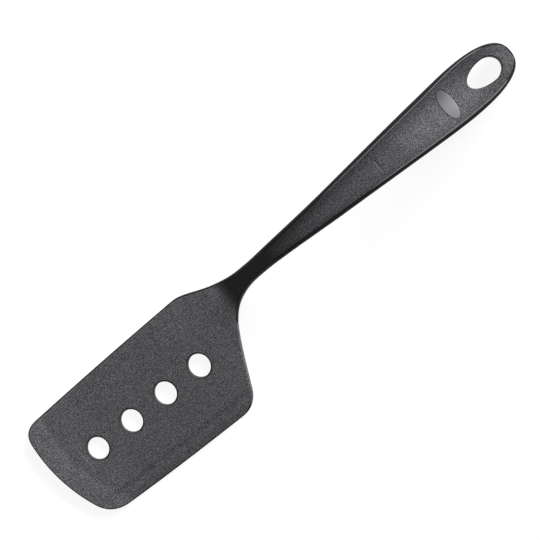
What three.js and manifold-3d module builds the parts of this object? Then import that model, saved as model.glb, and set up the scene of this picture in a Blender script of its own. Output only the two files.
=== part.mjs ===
// Kitchen turner. One rigid moulding runs from the perforated blade through the cranked neck into the
// handle's spine. A smooth grip wraps the spine's sides and back, and an oval badge sits in its dished top.
//
// Millimetres, Z up. X runs from the blade's front edge (negative) to the handle's end (positive).
// The blade's underside lies on Z = 0. The origin is on that underside, at the blade's heel, in the
// handle's middle plane. The blade hangs to the -Y side of that plane.

import * as THREE from 'three';
import { mergeVertices } from 'three/addons/utils/BufferGeometryUtils.js';
import Module from 'manifold-3d';

const degrees = THREE.MathUtils.degToRad;

// Blade plan
const bladeLength = 104.3;
const bladeWidth = 64.7;
const bladeTaper = degrees(1.9);
const bladeSkew = degrees(1.1);
const bladeOffset = 17.75;
const nearBulge = 0.4;
const farBulge = 0.5;
const frontRadius = 80;
const frontOffset = 11.4;
const nearCorner = 8;
const farCorner = 10;

// Shoulders between the blade and the neck. A pull is how far a curve holds its direction at one end.
const heelCorner = 10.2;
const shoulderAngle = degrees(62.2);
const shoulderStraight = 11.5;
const farShoulderPull = 39.1;
const farNeckPull = 21;
const nearShoulderPull = 10.7;
const nearNeckPull = 27;

// Blade thickness
const heelThickness = 2.6;
const tipThickness = 1.6;
const lipWidth = 10.6;
const lipRise = 1.1;
const lipStep = 0.2;
const lipEdge = 1.0;
const borderWidth = 7.8;
const borderStep = 0.45;

// Drain holes, in a row that shrinks towards the front
const drainCount = 4;
const drainPitch = 22.7;
const drainSetback = 9.6;
const drainDiameter = 12;
const drainShrink = 0.27;

// Neck, and the arch of the top line
const bendStart = 20;
const bendRadius = 25;
const rootOverlap = 6;
const neckAngle = degrees(26);
const neckMiddle = 46;
const neckWidth = 9.1;
const neckDepth = 7;
const kneeStart = 58;
const kneeRadius = 36;
const archAngle = degrees(12.5);

// Handle
const handleEnd = 220;
const handleWidth = 26.5;
const handleWidest = 191;
const handleNeckPull = 33.8;
const handleFlarePull = 15.2;
const handleDepth = 11.5;
const handleDeepest = 140;
const endDepth = 9.6;
const endFullness = 2.6;
const endBluntness = 6;
const dishDepth = 2.4;
const dishShallow = 0.6;
const dishStart = 63;
const thumbStart = 153;
const dishDeepest = 196;

// Sections: the plate at the blade's root and the rounded handle that it turns into
const plateEdge = 0.4;
const plateFullness = 9;
const shoulderHeight = 3;
const backFullness = 2.3;
const spineFullness = 2.5;
const largestBand = 0.6;
const largestShoulder = 0.45;

// Grip
const gripStart = 62;
const gripEnd = 213;
const gripFloor = 2.2;
const bandWidth = 1.6;
const bandTip = 0.7;
const gripLip = 0.5;
const keyCount = 3;
const keyPitch = 34;
const keyFirst = 88;
const keyDiameter = 4;
const keyHeight = 3;

// Hanging hole, egg-shaped with its blunt end outwards
const hangPlace = 206.8;
const hangWidth = 12.5;
const hangInner = 12.3;
const hangOuter = 7;
const hangWall = 2;

// Badge
const badgePlace = 182.6;
const badgeLength = 17.5;
const badgeWidth = 7.2;
const badgeThickness = 1.3;

// Gap between neighbouring pieces, and how far a cutting solid reaches past what it cuts
const clearance = 0.3;
const reach = 6;
const spineOverrun = 2;

// Fineness of the curves
const weldDistance = 1e-4;
const halvings = 50;
const outlineSegments = 16;
const discSegments = 120;
const holeSegments = 40;
const keySegments = 24;
const topSegments = 8;
const shoulderSegments = 4;
const backSegments = 12;
const neckStep = 3;
const handleStep = 5;
const endCount = 14;
const endTurn = degrees(86);

const wasm = await Module();
wasm.setup();

// Turns a closed geometry into a solid that can be joined and cut.
function solid(geometry) {
  const bare = geometry.clone();
  bare.deleteAttribute('normal');
  bare.deleteAttribute('uv');
  const merged = mergeVertices(bare, weldDistance);
  const index = merged.index.array;
  const triVerts = [];
  for (let i = 0; i < index.length; i += 3) {
    const [a, b, c] = [index[i], index[i + 1], index[i + 2]];
    if (a !== b && b !== c && c !== a) triVerts.push(a, b, c);
  }
  const mesh = new wasm.Mesh({
    numProp: 3,
    vertProperties: new Float32Array(merged.attributes.position.array),
    triVerts: new Uint32Array(triVerts),
  });
  return new wasm.Manifold(mesh);
}

function pieceMesh(name, body, color, roughness) {
  const { vertProperties, triVerts } = body.getMesh();
  const geometry = new THREE.BufferGeometry();
  geometry.setAttribute('position', new THREE.BufferAttribute(vertProperties, 3));
  geometry.setIndex(new THREE.BufferAttribute(triVerts, 1));
  geometry.computeVertexNormals();
  const material = new THREE.MeshStandardMaterial({ color, roughness, metalness: 0 });
  const mesh = new THREE.Mesh(geometry, material);
  mesh.name = name;
  return mesh;
}

// A closed skin through rings of points, each ring with the same count, capped at both ends.
function loft(rings) {
  const count = rings[0].length;
  const positions = rings.flat().flatMap((point) => point.toArray());
  const index = [];
  for (let i = 0; i + 1 < rings.length; i += 1) {
    for (let j = 0; j < count; j += 1) {
      const a = i * count + j;
      const b = i * count + ((j + 1) % count);
      index.push(a, a + count, b, b, a + count, b + count);
    }
  }
  for (const [ring, forward] of [[0, false], [rings.length - 1, true]]) {
    const centre = new THREE.Vector3();
    rings[ring].forEach((point) => centre.addScaledVector(point, 1 / count));
    const hub = positions.length / 3;
    positions.push(...centre.toArray());
    for (let j = 0; j < count; j += 1) {
      const a = ring * count + j;
      const b = ring * count + ((j + 1) % count);
      index.push(...(forward ? [hub, b, a] : [hub, a, b]));
    }
  }
  const geometry = new THREE.BufferGeometry();
  geometry.setAttribute('position', new THREE.Float32BufferAttribute(positions, 3));
  geometry.setIndex(index);
  return geometry;
}

// A plan outline drawn out along Z between two heights.
function prism(shape, low, high) {
  const options = { depth: high - low, bevelEnabled: false, curveSegments: outlineSegments };
  return new THREE.ExtrudeGeometry(shape, options).translate(0, 0, low);
}

// Upright cylinder, centred on the origin.
function pillar(radius, height, segments) {
  return new THREE.CylinderGeometry(radius, radius, height, segments).rotateX(Math.PI / 2);
}

const joined = (bodies) => bodies.reduce((all, next) => all.add(next));
const listOf = (count, make) => Array.from({ length: count }, (_, i) => make(i));
const mix = THREE.MathUtils.lerp;
const blend = THREE.MathUtils.smoothstep;

// Smallest value between two limits that is not too low.
function bisect(from, to, tooLow) {
  let [low, high] = [from, to];
  for (let i = 0; i < halvings; i += 1) {
    const middle = (low + high) / 2;
    if (tooLow(middle)) low = middle;
    else high = middle;
  }
  return high;
}

// Plan of the blade

// Blade coordinates run along its own centre line, which is skewed to the handle about the heel.
function fromBlade(along, across) {
  const point = new THREE.Vector2(along, across).rotateAround(new THREE.Vector2(), -bladeSkew);
  return point.add(new THREE.Vector2(0, -bladeOffset));
}

const frontCentre = fromBlade(frontRadius - bladeLength, frontOffset);

// Long edge of the blade on one side: a shallow curve from the heel to the front.
function sideEdge(side, bulge) {
  const half = bladeWidth / 2;
  const drop = bladeLength * Math.tan(bladeTaper);
  const heel = fromBlade(0, side * half);
  const control = fromBlade(-bladeLength / 2, side * (half - drop / 2 + 2 * bulge));
  const front = fromBlade(-bladeLength, side * (half - drop));
  return new THREE.QuadraticBezierCurve(heel, control, front);
}

const nearEdge = sideEdge(1, nearBulge);
const farEdge = sideEdge(-1, farBulge);

// Rounded front corner: where it leaves the side, its control point, and where it joins the front arc.
function frontCorner(edge, side, size) {
  const direction = edge.v2.clone().sub(edge.v1).normalize();
  const toCentre = frontCentre.clone().sub(edge.v1);
  const near = toCentre.dot(direction);
  const off = toCentre.clone().addScaledVector(direction, -near).length();
  const length = near + Math.sqrt(frontRadius ** 2 - off ** 2);
  const corner = edge.v1.clone().addScaledVector(direction, length);
  const start = corner.clone().addScaledVector(direction, -size);
  const angle = corner.clone().sub(frontCentre).angle() + (side * size) / frontRadius;
  const radial = new THREE.Vector2(Math.cos(angle), Math.sin(angle));
  const end = frontCentre.clone().addScaledVector(radial, frontRadius);
  const ahead = end.clone().sub(start).dot(radial) / direction.dot(radial);
  const control = start.clone().addScaledVector(direction, ahead);
  return { start, control, end, angle };
}

const neckHalf = neckWidth / 2;
const handleHalf = handleWidth / 2;
const shoulder = new THREE.Vector2(Math.cos(shoulderAngle), Math.sin(shoulderAngle));
const shoulderEnd = farEdge.v0.clone().addScaledVector(shoulder, shoulderStraight);

// The three curved edges behind the heel, each drawn towards the handle's end
const farRoot = new THREE.CubicBezierCurve(
  shoulderEnd,
  shoulderEnd.clone().addScaledVector(shoulder, farShoulderPull),
  new THREE.Vector2(neckMiddle - farNeckPull, -neckHalf),
  new THREE.Vector2(neckMiddle, -neckHalf),
);
const nearRoot = new THREE.CubicBezierCurve(
  nearEdge.v0,
  nearEdge.v0.clone().add(new THREE.Vector2(nearShoulderPull, 0)),
  new THREE.Vector2(neckMiddle - nearNeckPull, neckHalf),
  new THREE.Vector2(neckMiddle, neckHalf),
);
const handleSide = new THREE.CubicBezierCurve(
  new THREE.Vector2(neckMiddle, neckHalf),
  new THREE.Vector2(neckMiddle + handleNeckPull, neckHalf),
  new THREE.Vector2(handleWidest - handleFlarePull, handleHalf),
  new THREE.Vector2(handleWidest, handleHalf),
);

// Height of a curve over a given x, for a curve whose x only grows.
function curveAt(curve, x) {
  const share = bisect(0, 1, (middle) => curve.getPoint(middle).x < x);
  return curve.getPoint(share).y;
}

// Near and far edges of the neck and handle at x.
function edgesAt(x) {
  if (x < neckMiddle) return [curveAt(nearRoot, x), curveAt(farRoot, x)];
  if (x < handleWidest) return [curveAt(handleSide, x), -curveAt(handleSide, x)];
  const share = Math.min(1, (x - handleWidest) / (handleEnd - handleWidest));
  const half = handleHalf * (1 - share ** endFullness) ** (1 / endFullness);
  return [half, -half];
}

// Outline of the blade up to the line where the neck starts to rise.
function bladeOutline() {
  const nearFront = frontCorner(nearEdge, 1, nearCorner);
  const farFront = frontCorner(farEdge, -1, farCorner);
  const heel = farEdge.v0;
  const alongSide = farEdge.v1.clone().sub(heel).normalize();
  const heelStart = heel.clone().addScaledVector(alongSide, heelCorner);
  const heelEnd = heel.clone().addScaledVector(shoulder, heelCorner);
  const shape = new THREE.Shape();
  shape.moveTo(nearEdge.v0.x, nearEdge.v0.y);
  shape.quadraticCurveTo(nearEdge.v1.x, nearEdge.v1.y, nearFront.start.x, nearFront.start.y);
  shape.quadraticCurveTo(nearFront.control.x, nearFront.control.y, nearFront.end.x, nearFront.end.y);
  shape.absarc(frontCentre.x, frontCentre.y, frontRadius, nearFront.angle, farFront.angle, false);
  shape.quadraticCurveTo(farFront.control.x, farFront.control.y, farFront.start.x, farFront.start.y);
  shape.quadraticCurveTo(farEdge.v1.x, farEdge.v1.y, heelStart.x, heelStart.y);
  shape.quadraticCurveTo(heel.x, heel.y, heelEnd.x, heelEnd.y);
  stations(shoulderEnd.x, bendStart, neckStep).forEach((x) => shape.lineTo(x, edgesAt(x)[1]));
  stations(bendStart, nearEdge.v0.x, neckStep).forEach((x) => shape.lineTo(x, edgesAt(x)[0]));
  return shape;
}

// Evenly spaced places from one x to another, both ends included.
function stations(from, to, step) {
  const count = Math.max(1, Math.round(Math.abs(to - from) / step));
  return listOf(count + 1, (i) => mix(from, to, i / count));
}

// Top line of the tool, from the blade through both bends and along the arch

// Carries a point with a height and an angle along an arc to x. A negative radius turns downwards.
function alongArc(start, radius, x) {
  const angle = Math.asin(Math.sin(start.angle) + (x - start.x) / radius);
  return { x, z: start.z + radius * (Math.cos(start.angle) - Math.cos(angle)), angle };
}

function alongNeck(x) {
  return { x, z: neck.z + (x - neck.x) * Math.tan(neckAngle), angle: neckAngle };
}

const bend = { x: bendStart, z: heelThickness, angle: 0 };
const neck = alongArc(bend, bendRadius, bendStart + bendRadius * Math.sin(neckAngle));
const knee = alongNeck(kneeStart);
const kneeSpan = kneeRadius * (Math.sin(neckAngle) - Math.sin(archAngle));
const arch = alongArc(knee, -kneeRadius, kneeStart + kneeSpan);

// Depth of the neck and handle under the top line at x.
function depthAt(x) {
  const neckPart = (neckDepth - heelThickness) * blend(x, bendStart, neckMiddle);
  const handlePart = (handleDepth - neckDepth) * blend(x, neckMiddle, handleDeepest);
  const endPart = (endDepth - handleDepth) * blend(x, handleDeepest, handleWidest);
  const share = Math.max(0, (x - handleWidest) / (handleEnd - handleWidest));
  const rounding = (1 - share ** endBluntness) ** (1 / endFullness);
  return (heelThickness + neckPart + handlePart + endPart) * rounding;
}

// The arch's radius is the one that brings the underside of the handle's end back down to the table.
function restingRadius() {
  const tightest = handleEnd - arch.x;
  const places = stations(handleWidest, handleEnd, neckStep / 6);
  const underTable = (radius) => places.some((x) => {
    const top = alongArc(arch, -radius, x);
    return top.z < depthAt(x) * Math.cos(top.angle);
  });
  return bisect(tightest, halvings * tightest, underTable);
}

const archRadius = restingRadius();

function topLine(x) {
  if (x <= bend.x) return { x, z: heelThickness, angle: 0 };
  if (x <= neck.x) return alongArc(bend, bendRadius, x);
  if (x <= knee.x) return alongNeck(x);
  if (x <= arch.x) return alongArc(knee, -kneeRadius, x);
  return alongArc(arch, -archRadius, x);
}

// Places a point given across the tool and above its top line, in the plane square to that line at x.
function onSection(x, across, above) {
  const { z, angle } = topLine(x);
  return new THREE.Vector3(x - above * Math.sin(angle), across, z + above * Math.cos(angle));
}

// Moves a geometry that was drawn flat, around its own origin, onto the top line at x.
function onTopLine(geometry, x, above) {
  const place = onSection(x, 0, above);
  return geometry.rotateY(-topLine(x).angle).translate(place.x, place.y, place.z);
}

// Sections of the neck and handle

const bandAt = (x) => mix(bandWidth, bandTip, blend(x, handleWidest, gripEnd));

// A shallow dish along the handle deepens where the thumb rests and runs out under the hanging hole.
function dishAt(x) {
  const shallow = dishShallow * blend(x, dishStart, handleDeepest);
  const share = THREE.MathUtils.clamp((x - thumbStart) / (dishDeepest - thumbStart), 0, 1);
  const thumbRest = (dishDepth - dishShallow) * share * (2 - share);
  const runOut = blend(x, dishDeepest, hangPlace + hangOuter);
  return (shallow + thumbRest) * (1 - runOut);
}

// Half of a superellipse, from one side round the bottom to the other, as pairs of shares.
function roundedBack(fullness) {
  return listOf(backSegments + 1, (i) => {
    const turn = (i / backSegments) * Math.PI;
    const across = Math.sign(Math.cos(turn)) * Math.abs(Math.cos(turn)) ** (2 / fullness);
    return [across, Math.sin(turn) ** (2 / fullness)];
  });
}

// Outer section: a dished top, rounded shoulders and a rounded back. Near the blade it flattens to a plate,
// and where it overlaps the blade it sinks into it.
function outerRing(x) {
  const [near, far] = edgesAt(x);
  const middle = (near + far) / 2;
  const half = (near - far) / 2;
  const depth = depthAt(x);
  const rounded = blend(x, bendStart, neckMiddle);
  const band = Math.min(mix(plateEdge, bandAt(x), rounded), largestBand * half);
  const drop = Math.min(mix(plateEdge, shoulderHeight, rounded), largestShoulder * depth);
  const top = half - band;
  const buried = (plateEdge * Math.max(0, bendStart - x)) / rootOverlap;
  const shrink = 1 - (2 * buried) / depth;
  const at = (across, above) => onSection(x, middle + across * shrink, above * shrink - buried);
  const dished = listOf(topSegments + 1, (i) => {
    const share = (2 * i) / topSegments - 1;
    return at(share * top, -dishAt(x) * (1 - share ** 2));
  });
  const round = (side) => listOf(shoulderSegments, (i) => {
    const turn = ((i + 1) / shoulderSegments) * (Math.PI / 2);
    return at(side * (top + band * Math.sin(turn)), drop * (Math.cos(turn) - 1));
  });
  const back = roundedBack(mix(plateFullness, backFullness, rounded)).slice(1, -1);
  const under = back.map(([across, down]) => at(half * across, -drop - (depth - drop) * down));
  return [...dished, ...round(1), ...under, ...round(-1).reverse()];
}

// Spine section, open upwards past the top: what lies inside the grip's lips and above its floor.
function spineRing(x, gap) {
  const half = edgesAt(x)[0] - bandAt(x) - gripLip + gap;
  const depth = depthAt(x) - gripFloor + gap;
  const under = roundedBack(spineFullness).map(([across, down]) => (
    onSection(x, half * across, -shoulderHeight - (depth - shoulderHeight) * down)
  ));
  return [onSection(x, -half, reach), onSection(x, half, reach), ...under];
}

// Section of a stretch of space well around the handle.
function zoneRing(x) {
  const half = handleHalf + reach;
  const low = -handleDepth - reach;
  const corners = [[-half, reach], [half, reach], [half, low], [-half, low]];
  return corners.map(([across, above]) => onSection(x, across, above));
}

// Stations close up towards the rounded end.
function endStations() {
  const turn = (i) => ((i + 1) / endCount) * endTurn;
  return listOf(endCount, (i) => handleWidest + (handleEnd - handleWidest) * Math.sin(turn(i)));
}

const bodyStations = [
  ...stations(bendStart - rootOverlap, arch.x, neckStep),
  ...stations(arch.x, handleWidest, handleStep).slice(1),
  ...endStations(),
];
const handleBody = solid(loft(bodyStations.map(outerRing)));

function spine(gap) {
  const places = stations(gripStart - spineOverrun, gripEnd + spineOverrun, handleStep);
  return solid(loft(places.map((x) => spineRing(x, gap))));
}

function zone(from, to) {
  return solid(loft(stations(from, to, handleStep).map(zoneRing)));
}

// Blade

const creaseRadius = frontRadius - lipWidth;

// Disc inside the front lip, to which the cuts on the blade's top are held.
function insideLip() {
  const disc = pillar(creaseRadius, 4 * reach, discSegments);
  return solid(disc.translate(frontCentre.x, frontCentre.y, 0));
}

// Plate of full thickness, with the front lip turned up around it.
function lippedPlate() {
  const rim = frontRadius + reach;
  const lipTop = tipThickness + lipStep;
  const edgeLow = lipTop + lipRise - lipEdge;
  const outwards = (rim - creaseRadius) / lipWidth;
  const plate = new THREE.LatheGeometry([
    new THREE.Vector2(0, 0),
    new THREE.Vector2(creaseRadius, 0),
    new THREE.Vector2(rim, edgeLow * outwards),
    new THREE.Vector2(rim, lipTop + lipRise * outwards),
    new THREE.Vector2(creaseRadius, lipTop),
    new THREE.Vector2(creaseRadius, heelThickness),
    new THREE.Vector2(0, heelThickness),
  ], discSegments);
  return solid(plate.rotateX(Math.PI / 2).translate(frontCentre.x, frontCentre.y, 0));
}

// Wedge over the blade. Its floor sinks from the bend to the front, a step under the field at either end.
function overBlade(frontStep, rearStep) {
  const wide = 2 * bladeWidth;
  const shape = new THREE.Shape([
    new THREE.Vector2(bendStart, heelThickness - rearStep),
    new THREE.Vector2(bendStart, reach),
    new THREE.Vector2(-bladeLength, reach),
    new THREE.Vector2(-bladeLength, tipThickness - frontStep),
  ]);
  return solid(prism(shape, -wide, wide).rotateX(Math.PI / 2));
}

// Border strip along one side. Its step runs out through the far shoulder and fades at the near one.
function borderStrip(edge, side, rearStep) {
  const inwards = new THREE.Vector2(0, -side * borderWidth);
  const outwards = new THREE.Vector2(0, side * reach);
  const behind = edge.v0.clone().setX(bendStart);
  const inner = [behind, ...edge.getPoints(outlineSegments)].map((point) => point.clone().add(inwards));
  const outer = [edge.v2, behind].map((point) => point.clone().add(outwards));
  const strip = solid(prism(new THREE.Shape([...inner, ...outer]), -reach, 2 * reach));
  return strip.intersect(overBlade(borderStep, rearStep));
}

function blade() {
  const strips = borderStrip(nearEdge, 1, 0).add(borderStrip(farEdge, -1, borderStep));
  const sunk = overBlade(0, 0).add(strips).intersect(insideLip());
  return solid(prism(bladeOutline(), -reach, reach)).intersect(lippedPlate()).subtract(sunk);
}

function drainHoles() {
  return joined(listOf(drainCount, (i) => {
    const radius = (drainDiameter - i * drainShrink) / 2;
    const place = fromBlade(-drainSetback - i * drainPitch, 0);
    return solid(pillar(radius, 4 * reach, holeSegments).translate(place.x, place.y, 0));
  }));
}

// Hanging hole, keys and badge

function hangingHole(grow) {
  const half = hangWidth / 2 + grow;
  const egg = new THREE.Shape();
  egg.absellipse(0, 0, hangOuter + grow, half, -Math.PI / 2, Math.PI / 2, false, 0);
  egg.absellipse(0, 0, hangInner + grow, half, Math.PI / 2, (3 * Math.PI) / 2, false, 0);
  return solid(onTopLine(prism(egg, -3 * reach, 2 * reach), hangPlace, 0));
}

// Round keys that stand on the grip's floor and reach into the spine.
function gripKeys(gap) {
  const root = gripFloor / 2;
  const length = root + keyHeight + gap;
  return joined(listOf(keyCount, (i) => {
    const x = keyFirst + i * keyPitch;
    const middle = gripFloor - depthAt(x) - root + length / 2;
    return solid(onTopLine(pillar(keyDiameter / 2 + gap, length, keySegments), x, middle));
  }));
}

// Oval reaching from the badge's seat up past the handle's top.
function badgeOval(gap) {
  const oval = new THREE.Shape();
  oval.absellipse(0, 0, badgeWidth / 2 - gap, badgeLength / 2 - gap, 0, 2 * Math.PI, false, 0);
  const seat = -dishAt(badgePlace) - badgeThickness;
  return solid(onTopLine(prism(oval, seat + gap, reach), badgePlace, 0));
}

// Pieces

const wrapped = zone(gripStart, gripEnd).subtract(spine(0)).subtract(hangingHole(hangWall));
const moulding = handleBody.subtract(wrapped).add(blade())
  .subtract(drainHoles())
  .subtract(hangingHole(0))
  .subtract(gripKeys(clearance))
  .subtract(badgeOval(0));

const wrapping = zone(gripStart + clearance, gripEnd - clearance)
  .subtract(spine(clearance))
  .subtract(hangingHole(hangWall + clearance));
const grip = handleBody.intersect(wrapping).add(gripKeys(0));

const badge = handleBody.intersect(badgeOval(clearance));

const turner = new THREE.Group();
turner.add(
  pieceMesh('blade_and_spine', moulding, 0x4b4b50, 0.55),
  pieceMesh('handle_grip', grip, 0x2a2a2d, 0.55),
  pieceMesh('oval_badge', badge, 0x66666b, 0.2),
);

export default turner;
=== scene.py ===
import math

import bmesh
import bpy
import numpy as np
from mathutils import Matrix, Vector
from mathutils.geometry import delaunay_2d_cdt


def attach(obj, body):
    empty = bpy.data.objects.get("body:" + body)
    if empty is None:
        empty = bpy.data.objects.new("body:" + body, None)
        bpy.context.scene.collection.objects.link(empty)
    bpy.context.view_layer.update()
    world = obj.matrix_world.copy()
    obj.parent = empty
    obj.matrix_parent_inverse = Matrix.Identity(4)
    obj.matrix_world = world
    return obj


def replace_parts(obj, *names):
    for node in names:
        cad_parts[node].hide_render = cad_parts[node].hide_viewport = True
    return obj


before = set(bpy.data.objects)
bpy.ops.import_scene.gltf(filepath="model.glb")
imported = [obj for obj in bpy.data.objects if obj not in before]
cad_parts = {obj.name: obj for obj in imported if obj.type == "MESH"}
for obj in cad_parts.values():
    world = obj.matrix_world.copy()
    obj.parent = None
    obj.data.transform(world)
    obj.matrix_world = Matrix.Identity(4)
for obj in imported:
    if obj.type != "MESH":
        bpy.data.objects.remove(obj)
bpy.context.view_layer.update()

# Shapes are in millimetres, in the frame of the solids, and turn to metres in the meshes.
MM = 0.001

# The near side lies towards +Y and the far side towards -Y
NEAR, FAR = 1, -1

# Blade plan
BLADE_LENGTH = 104.3
BLADE_WIDTH = 64.7
BLADE_TAPER = math.radians(1.9)
BLADE_SKEW = math.radians(1.1)
BLADE_OFFSET = 17.75
NEAR_BULGE = 0.4
FAR_BULGE = 0.5
FRONT_RADIUS = 80
FRONT_OFFSET = 11.4
NEAR_CORNER = 8
FAR_CORNER = 10
HEEL_CORNER = 9.2
SHOULDER_ANGLE = math.radians(62.2)
SHOULDER_STRAIGHT = 11.5
FAR_SHOULDER_PULL = 39.1
FAR_NECK_PULL = 21
NEAR_SHOULDER_PULL = 9.6
NEAR_NECK_PULL = 27

# Blade thickness
HEEL_THICKNESS = 2.6
TIP_THICKNESS = 1.6
LIP_WIDTH = 10.6
LIP_RISE = 1.1
FAR_LIP_RISE = 0.4
LIP_RISE_SPAN = (-50, -4)
LIP_STEP = 0.2
LIP_EDGE = 1.0
BORDER_CREASE = 8.7
BORDER_FOOT = 5.3
BORDER_STEP = 0.48
GROOVE_PLACE = 7.9
GROOVE_WALL = 1
GROOVE_DEPTH = 0.1
ROLL_START = 4.3
ROLL_SOFT = 1.2
FAR_ROLL = 0.15
NEAR_ROLL = 0.06
CREASE_SOFT = 2.4
FAR_FALL_LEFT = 0.35
RIM_OVER = 0.55
RIM_DROP = 0.28
RIM_UNDER = 0.25

# Drain holes
DRAIN_COUNT = 4
DRAIN_PITCH = 22.8
DRAIN_SETBACK = 9.6
DRAIN_DIAMETER = 11.75
DRAIN_SHRINK = 0.22
DRAIN_RIM = 0.85
DRAIN_RIM_DROP = 0.5
HALF_HOLE = 32

# Neck and arch
BEND_START = 20
BEND_RADIUS = 25
NECK_ANGLE = math.radians(26)
NECK_MIDDLE = 46
NECK_WIDTH = 9.1
NECK_DEPTH = 7
KNEE_START = 58
KNEE_RADIUS = 36
ARCH_ANGLE = math.radians(12.5)
FLATTEST_ARCH = 50
ARCH_PLACES = 59
ARCH_HALVINGS = 50

# Handle
HANDLE_END = 220
HANDLE_WIDTH = 26.5
HANDLE_WIDEST = 191
HANDLE_NECK_PULL = 33.8
HANDLE_FLARE_PULL = 15.2
HANDLE_DEPTH = 11.5
HANDLE_DEEPEST = 140
END_DEPTH = 9.6
END_FULLNESS = 2.6
END_BLUNTNESS = 6
SHOULDER_HEIGHT = 3
DISH_DEPTH = 2.4
DISH_SHALLOW = 0.6
DISH_START = 63
THUMB_START = 153
DISH_DEEPEST = 196
BACK_FULLNESS = 2.3
SPINE_FULLNESS = 2.5

# Where the tool's middle line strays aside: from, to, and by how much to the near side
BOWS = ((28, 44, 0.58), (54, 110, -0.83), (172, 216, 0.58))

# Grip
GRIP_START = 62
GRIP_END = 213
GRIP_FLOOR = 2.2
NEAR_BAND = ((62, 1.6), (95, 1.6), (125, 1.9), (160, 2.05), (176, 2.05), (198, 1.3))
FAR_BAND = 1.6
BAND_TIP = 1.0
GRIP_LIP = 0.5
GRIP_EDGE = 0.15
BEAD_RADIUS = 0.3
BEAD_SUNK = -1.05
BEAD_SHOWN = 0.2
BEAD_RISE = {NEAR: (96, 150), FAR: (120, 174)}
BEAD_FALL = 200
SEAM = 0.08
END_SEAM = 0.02
TIP_RIM = 0.5

# The most that shoulders, bands and lips take of a slim section
SHOULDER_SHARE = 0.45
BAND_SHARE = 0.5
LIP_SHARE = 0.2

# Hanging hole and badge
HANG_PLACE = 207.1
HANG_WIDTH = 12.1
HANG_INNER = 11.9
HANG_OUTER = 7.2
HANG_WALL = 2
HANG_WALL_TOP = -4
HANG_WALL_HUB = 0.05
HANG_WALL_RINGS = 24
HANG_RIM = 0.4
HANG_TILT = math.radians(6)
BADGE_PLACE = 182.6
BADGE_LENGTH = 16.8
BADGE_WIDTH = 7.2
BADGE_THICKNESS = 1.3
BADGE_SEAM = 0.12
BADGE_RIM = 0.3
BADGE_CROWN = 0.12
BADGE_CUT = 8
BADGE_HUB = 0.03
BADGE_RINGS = 18
THROUGH = 3 * HANDLE_DEPTH

# Fine line across the panel
WITNESS_PLACE = 138.2
WITNESS_WIDTH = 0.4
WITNESS_DEPTH = 0.16
WITNESS_SPAN = (-4, 2)
WITNESS_FADE = 1

# How many points curves and rings have in each stretch
CURVE_POINTS = 400
LONG_CURVE_POINTS = 2000
FRONT_POINTS = 200
SQUARED_POINTS = 8
PANEL_POINTS = 45
LIP_POINTS = 6
ROUND_POINTS = 8
BACK_POINTS = 39
BEAD_POINTS = 12
EGG_POINTS = 120
BADGE_POINTS = 96
RIM_POINTS = 5

# How the points and rings of the meshes are spaced, joined and shaded
OUTLINE_STEP = 1.0
FEATURE_STEP = 1.4
BORDER_ROW_STEP = 0.65
BORDER_ROWS = (-10, 2)
CREASE_ROWS = 7
CREASE_REACH = 1.1
FRONT_SWEEP = (math.radians(120), math.radians(240))
TOP_STEP = 1.7
BOTTOM_STEP = 3.0
FIELD_MARGIN = 2
FEATURE_GAP = 0.9
EDGE_GAP = 0.55
END_SWEEP = math.radians(88.5)
END_STATIONS = 40
END_FIRST_STEP = 0.2
WITNESS_STATIONS = 9
NECK_STEP = 0.75
HANDLE_STEP = 1.25
WELD = 0.001
SHARP_ANGLE = math.radians(35)

# Shares along a quarter turn and across a lip
QUARTER = np.arange(ROUND_POINTS + 1) / ROUND_POINTS * math.pi / 2
LIP_SHARES = np.arange(1, LIP_POINTS + 1) / LIP_POINTS


def smooth(x, low, high):
    t = np.clip((np.asarray(x, float) - low) / (high - low), 0, 1)
    return t * t * (3 - 2 * t)


def mix(a, b, t):
    return a + (b - a) * t


def unit(vectors):
    return vectors / np.linalg.norm(vectors, axis=-1, keepdims=True)


def columns(*coordinates):
    """Points with the given coordinates, of which some may be constant."""
    return np.stack(np.broadcast_arrays(*coordinates), -1)


def on_circle(turn):
    return columns(np.cos(turn), np.sin(turn))


def rounding(width, drop):
    """Outward and upward steps along a quarter round that begins level and ends upright."""
    return columns(width * np.sin(QUARTER), drop * (np.cos(QUARTER) - 1))


def bezier(points, count=CURVE_POINTS):
    t = np.linspace(0, 1, count)[:, None]
    rows = [np.asarray(p, float) for p in points]
    while len(rows) > 1:
        rows = [mix(a, b, t) for a, b in zip(rows, rows[1:])]
    return rows[0]


# Plan of the blade


def from_blade(along, across):
    """Plan of a point given along and across the blade, whose middle line is skewed to the handle's."""
    c, s = math.cos(BLADE_SKEW), math.sin(BLADE_SKEW)
    return np.array([along * c + across * s, across * c - along * s - BLADE_OFFSET])


def side_edge(side, bulge):
    """Heel, control point and front end of a long side of the blade."""
    half = BLADE_WIDTH / 2
    drop = BLADE_LENGTH * math.tan(BLADE_TAPER)
    heel = from_blade(0, side * half)
    control = from_blade(-BLADE_LENGTH / 2, side * (half - drop / 2 + 2 * bulge))
    front = from_blade(-BLADE_LENGTH, side * (half - drop))
    return heel, control, front


NEAR_EDGE = side_edge(NEAR, NEAR_BULGE)
FAR_EDGE = side_edge(FAR, FAR_BULGE)
FRONT_CENTRE = from_blade(FRONT_RADIUS - BLADE_LENGTH, FRONT_OFFSET)
CREASE_RADIUS = FRONT_RADIUS - LIP_WIDTH


def on_front(angle):
    return FRONT_CENTRE + FRONT_RADIUS * on_circle(angle)


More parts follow.
